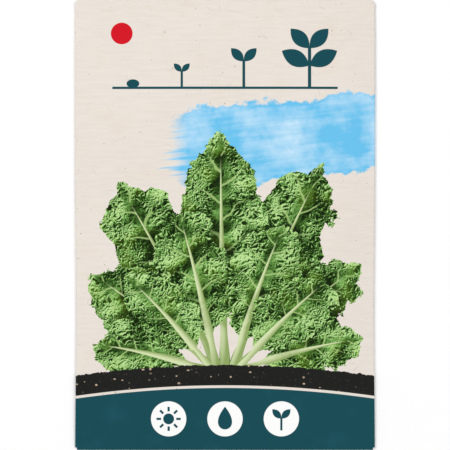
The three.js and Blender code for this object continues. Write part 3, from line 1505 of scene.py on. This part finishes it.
    def face_out(self, sheet: bpy.types.Object) -> None:
        """Turns every face of the sheet to its printed side."""
        bpy.ops.mesh.select_all(action="SELECT")
        bpy.ops.mesh.normals_make_consistent(inside=False)
        bpy.ops.object.mode_set(mode="OBJECT")
        highest = max(sheet.data.polygons, key=lambda face: face.center.z)
        if highest.normal.z < 0:
            bpy.ops.object.mode_set(mode="EDIT")
            bpy.ops.mesh.flip_normals()
            bpy.ops.object.mode_set(mode="OBJECT")

    def mark_sides(self, sheet: bpy.types.Object) -> None:
        """Gives each face the material slot of its side."""
        for _ in range(Side.EDGE.value + Side.INSIDE.value):
            sheet.data.materials.append(None)
        for face in sheet.data.polygons:
            face.material_index = (Side.BACK if face.normal.z < self.back_normal else Side.FRONT).value

    def on_front(self, blank: np.ndarray) -> np.ndarray:
        """Says which points lie on the front panel, clear of its fold lines.

        Args:
            blank: The sheet's points as they were folded, in millimetres.

        Returns:
            True for each such point.
        """
        within = (abs(blank[:, 0]) < self.half_width - MM) & (abs(blank[:, 1]) < self.half_height - MM)
        return within & (blank[:, 2] > self.front_edge - MM)

    def drape(self, sheet: bpy.types.Object, front: np.ndarray) -> None:
        """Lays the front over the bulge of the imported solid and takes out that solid's facets.

        Args:
            sheet: The sheet.
            front: Which of its points lie on the front panel.
        """
        points = points_of(sheet)
        points[front, 2] += self.lift * MM
        move_points(sheet, points)
        group = weigh(sheet, "front", front.astype(float))
        apply_modifier(sheet, "SHRINKWRAP", target=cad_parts["paper_wrapper"], wrap_method="PROJECT",
                       use_project_z=True, use_positive_direction=False, use_negative_direction=True,
                       vertex_group=group)
        apply_modifier(sheet, "SMOOTH", factor=self.smooth_factor, iterations=self.smooth_rounds,
                       vertex_group=group)

    def crease(self, sheet: bpy.types.Object, front: np.ndarray, seeds: Sequence[Vector]) -> None:
        """Presses the seeds into the front from below, and waves and crumples the paper a little.

        Args:
            sheet: The sheet.
            front: Which of its points lie on the front panel.
            seeds: The seeds' middles, in millimetres.
        """
        x, y, _ = (points_of(sheet) / MM).T
        inward = np.minimum(self.half_width - abs(x), self.half_height - abs(y))
        fading = np.clip(inward / (self.wave_margin * self.half_width), 0, 1) * front
        dents = np.max([hill(np.hypot(x - seed.x, y - seed.y), self.seed_reach) for seed in seeds], axis=0)
        dents[dents < self.least_dent] = 0
        group = weigh(sheet, "over_seeds", dents * front)
        apply_modifier(sheet, "DISPLACE", strength=self.seed_dent * MM, direction="Z", mid_level=0.0,
                       vertex_group=group)
        group = weigh(sheet, "waved", fading)
        for size, height in ((self.wave_size, self.wave_height), (self.crumple_size, self.crumple_height)):
            clouds = bpy.data.textures.new("paper_waves", "CLOUDS")
            clouds.noise_scale = size * MM
            apply_modifier(sheet, "DISPLACE", strength=height * MM, texture=clouds, texture_coords="LOCAL",
                           direction="Z", vertex_group=group)

    def press_folds(self, sheet: bpy.types.Object, front: np.ndarray) -> None:
        """Presses the folds flatter, most at the corners, and draws shallow creases in from each corner.

        Args:
            sheet: The sheet.
            front: Which of its points lie on the front panel.
        """
        points = points_of(sheet)
        x, y, z = (points / MM).T
        to_side = (self.half_width - abs(x)).clip(0)
        to_end = (self.half_height - abs(y)).clip(0)
        to_fold = np.minimum(to_side, to_end)
        press = self.fold_press * hill(to_fold, self.press_reach)
        press += self.corner_press * hill(np.hypot(to_side, to_end), self.corner_reach)
        run = (to_side + to_end) / math.sqrt(2)
        off = (to_side - to_end) / math.sqrt(2)
        pull = self.pull_height * hill(run - self.pull_middle, self.pull_length) * hill(off, self.pull_spread)
        pull *= np.cos(math.tau * off / self.pull_pitch) * (to_fold / self.press_reach).clip(0, 1)
        upper = ((z - self.outer_wing) / (self.front_edge - self.outer_wing)).clip(0, 1)
        points[:, 2] += (pull - press) * upper * (front | (to_fold < MM)) * MM
        move_points(sheet, points)

    def draw_in(self, sheet: bpy.types.Object, seeds: Sequence[Vector]) -> None:
        """Draws the side folds in beside the bulge, since paper doesn't stretch.

        Args:
            sheet: The sheet.
            seeds: The seeds' middles, in millimetres.
        """
        points = points_of(sheet)
        level = sum(seed.y for seed in seeds) / len(seeds)
        points[:, 0] *= 1 - self.waist * hill(points[:, 1] / MM - level, self.waist_height) / self.half_width
        move_points(sheet, points)

    def lay_out_map(self, sheet: bpy.types.Object, blank: np.ndarray) -> None:
        """Lays the sheet out on its texture map.

        Args:
            sheet: The wrapper.
            blank: Its points as they were folded, before they were shaped, in millimetres.
        """
        mesh = sheet.data
        counts = np.empty(len(mesh.polygons), int)
        slots = np.empty(len(mesh.polygons), int)
        vertex = np.empty(len(mesh.loops), int)
        mesh.polygons.foreach_get("loop_total", counts)
        mesh.polygons.foreach_get("material_index", slots)
        mesh.loops.foreach_get("vertex_index", vertex)
        slot = np.repeat(slots, counts)
        corners = blank[vertex % len(blank)]
        x, y, z = corners.T
        back = slot == Side.BACK.value
        left = (x < -self.seam_half - MM) | (z > self.inner_wing - MM)
        flap = back & (z < self.outer_wing / 2)
        rooms = SheetMap()
        uv = rooms.front.spread(self.rolled_out(corners))
        for chosen, patch, origin in (
            (back & left, rooms.left_wing, (-self.half_width, -self.half_height)),
            (back & ~left, rooms.right_wing, (-self.seam_half, -self.half_height)),
            (flap & (y > 0), rooms.top_flap, (0.0, self.half_height)),
            (flap & (y < 0), rooms.bottom_flap, (0.0, -self.half_height)),
            (slot >= Side.INSIDE.value, rooms.inside, (0.0, 0.0)),
        ):
            uv[chosen] = patch.spread(corners[chosen, :2], origin)
        edge = np.flatnonzero(slot >= Side.EDGE.value)
        uv[edge] = np.array(rooms.edge_corners)[np.arange(len(edge)) % len(rooms.edge_corners)]
        mesh.uv_layers.new(name="OFBake").uv.foreach_set("vector", uv.ravel())

    def rolled_out(self, corners: np.ndarray) -> np.ndarray:
        """Rolls the rounded folds out beside the front, as far as their arcs go.

        Args:
            corners: Points of the folded sheet, in millimetres.

        Returns:
            Their places on the flat front and beyond it, as rows of x and y.
        """
        x, y, z = corners.T
        side_arc = self.side_fold * np.arctan2(abs(x) - self.half_width, z - self.side_level)
        end_arc = self.end_fold * np.arctan2(abs(y) - self.half_height, z - self.end_fold)
        flat_x = np.where(abs(x) > self.half_width + MM, np.sign(x) * (self.half_width + side_arc), x)
        flat_y = np.where(abs(y) > self.half_height + MM, np.sign(y) * (self.half_height + end_arc), y)
        return np.stack([flat_x, flat_y], axis=1)

    def dress(self, sheet: bpy.types.Object, packet_print: PacketPrint) -> None:
        """Puts the print on the outside, and bare paper on the inside and the cut edges.

        Args:
            sheet: The wrapper.
            packet_print: The print.
        """
        inside = packet_print.inside()
        edge = packet_print.edge()
        materials = (packet_print.front(), packet_print.back(), inside, inside, edge, edge)
        for slot, material in enumerate(materials):
            sheet.data.materials[slot] = material


@dataclass(frozen=True)
class GlueFinish:
    """Dried paste: a thin, slightly glossy, uneven film."""

    nodes: tuple[str, ...] = ("seam_glue", "bottom_flap_glue", "top_flap_glue")
    streaks: Grain = Grain(2.5, 4.0, 0.6)
    least_roughness: float = 0.25
    uneven_roughness: float = 0.4

    def dress(self) -> None:
        """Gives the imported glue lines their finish."""
        point = NodeSketch("dried_glue").place()
        streaks = point.noise(self.streaks)
        film = point.sketch.coat({
            "Base Color": point.sketch.lay(Ink.GLUE, Ink.CREAM, streaks),
            "Roughness": streaks.times(self.uneven_roughness, self.least_roughness),
        })
        for name in self.nodes:
            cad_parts[name].data.materials.clear()
            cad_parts[name].data.materials.append(film)


@dataclass(frozen=True)
class FloorFinish:
    """The white floor's dull finish, with a faint haze."""

    haze: Grain = Grain(300.0)
    roughness: float = 0.9
    specular: float = 0.1

    def material(self) -> bpy.types.Material:
        """Makes the finish.

        Returns:
            The material.
        """
        point = NodeSketch("white_floor").place()
        return point.sketch.coat({
            "Base Color": point.sketch.lay(Ink.FLOOR, Ink.FLOOR_HAZE, point.noise(self.haze)),
            "Roughness": self.roughness,
            "Specular IOR Level": self.specular,
        })


@dataclass(frozen=True)
class SoftLamp:
    """A square soft lamp that faces the packet, with its power in watts."""

    place: Step
    size: float
    power: float

    def hang(self) -> None:
        """Hangs the lamp."""
        lamp = bpy.data.lights.new("soft_lamp", "AREA")
        lamp.size = self.size * MM
        lamp.energy = self.power
        holder = bpy.data.objects.new("soft_lamp", lamp)
        holder.location = Vector(self.place) * MM
        holder.rotation_euler = (-holder.location).to_track_quat("-Z", "Y").to_euler()
        bpy.context.scene.collection.objects.link(holder)


@dataclass
class Studio:
    """A white floor, soft lamps and the camera straight above."""

    floor_size: float = 4000.0
    floor_cells: int = 8
    floor_gap: float = 0.02
    lens: float = 200.0
    sensor: float = 36.0
    ambient: float = 0.44
    lamps: tuple[SoftLamp, ...] = (
        SoftLamp((-420.0, 360.0, 700.0), size=500.0, power=3.9),
        SoftLamp((440.0, -220.0, 760.0), size=600.0, power=2.9),
    )

    def floor(self) -> bpy.types.Object:
        """Lays the floor.

        Returns:
            The floor.
        """
        clear_selection()
        bpy.ops.mesh.primitive_grid_add(x_subdivisions=self.floor_cells, y_subdivisions=self.floor_cells,
                                        size=self.floor_size * MM)
        floor = bpy.context.object
        floor.name = "studio_floor"
        floor.location.z = -self.floor_gap * MM
        floor.data.materials.append(FloorFinish().material())
        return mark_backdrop(floor)

    def light(self) -> None:
        """Hangs the lamps and lights the room evenly."""
        world = bpy.data.worlds.new("white_room")
        world.use_nodes = True
        world.node_tree.nodes["Background"].inputs["Color"].default_value = (1, 1, 1, 1)
        world.node_tree.nodes["Background"].inputs["Strength"].default_value = self.ambient
        bpy.context.scene.world = world
        for lamp in self.lamps:
            lamp.hang()

    def camera(self) -> None:
        """Looks straight down on the packet, which fills the picture from top to bottom."""
        low, high = CAD_BOX
        half_view = (high.y - low.y) / 2
        data = bpy.data.cameras.new("camera")
        data.lens = self.lens
        data.sensor_width = self.sensor
        camera = bpy.data.objects.new("camera", data)
        camera.location = ((low + high) / 2).xy.to_3d()
        camera.location.z = half_view * self.lens / (self.sensor / 2) + PaperWrapper().end_fold * MM
        bpy.context.scene.collection.objects.link(camera)
        bpy.context.scene.camera = camera

    def colours(self) -> None:
        """Shows colours as they are, so that printed inks keep their screen values."""
        bpy.context.scene.view_settings.view_transform = "Standard"
        bpy.context.scene.view_settings.look = "None"

    def build(self) -> None:
        """Sets up the whole studio."""
        self.camera()
        self.floor()
        self.light()
        self.colours()


def place_piece(piece: bpy.types.Object, node: str) -> None:
    """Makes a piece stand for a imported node.

    Args:
        piece: The piece.
        node: The node that it replaces.
    """
    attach(piece, BODY)
    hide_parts(node)
    log.info("%s stands for %s: %d faces", piece.name, node, len(piece.data.polygons))


def main() -> None:
    """Builds the packet's looks piece by piece, and the studio round it."""
    logging.basicConfig(level=logging.INFO, format="%(name)s: %(message)s")
    Studio().build()
    seeds = SeedLayer()
    layer = seeds.build()
    seeds.dress(layer)
    place_piece(layer, "seeds")
    wrapper = PaperWrapper()
    sheet = wrapper.build(seeds.places())
    wrapper.dress(sheet, PacketPrint())
    place_piece(sheet, "paper_wrapper")
    GlueFinish().dress()


if __name__ == "__main__":
    main()
